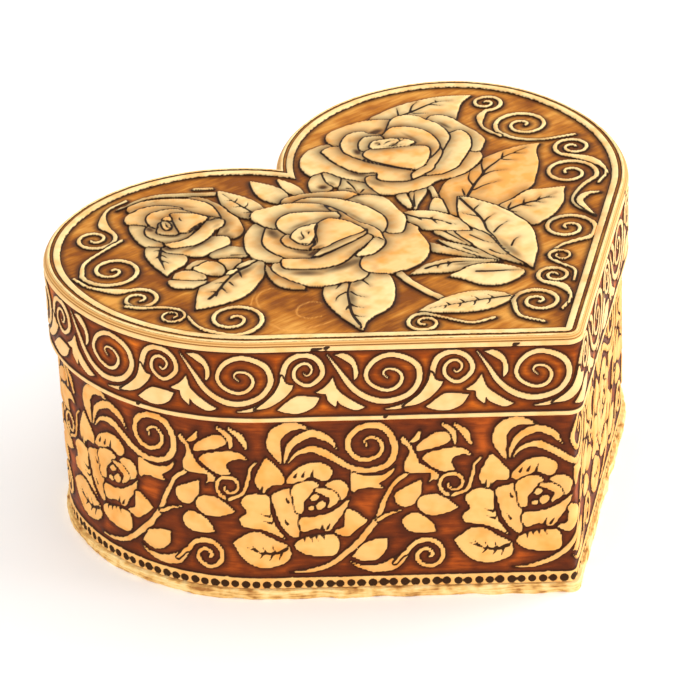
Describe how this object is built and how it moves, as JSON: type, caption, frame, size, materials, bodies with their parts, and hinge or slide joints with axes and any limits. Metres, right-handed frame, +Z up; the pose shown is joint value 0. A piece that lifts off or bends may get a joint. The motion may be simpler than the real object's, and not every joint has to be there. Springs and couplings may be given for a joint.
{
  "type": "heart-shaped birch bark box",
  "caption": "Heart-shaped lidded box of birch bark: a hollow body and a lift-off lid, with roses, leaves and scrolls in relief.",
  "frame": {"origin": "middle of the bounding box on the underside of the base plate, where the box stands", "axes": "+X across the heart, from the left lobe to the right one; +Y from the heart's tip towards its notch; +Z up"},
  "size_m": [0.1516, 0.1284, 0.0707],
  "materials": {
    "carved_lid_bark": "satin",
    "stained_bark": "satin",
    "pale_bark": "matte"
  },
  "bodies": {
    "root": {"base_plate": "pale_bark", "body_wall": "stained_bark", "lid_rim": "stained_bark", "lid_top": "carved_lid_bark"}
  },
  "joints": []
}
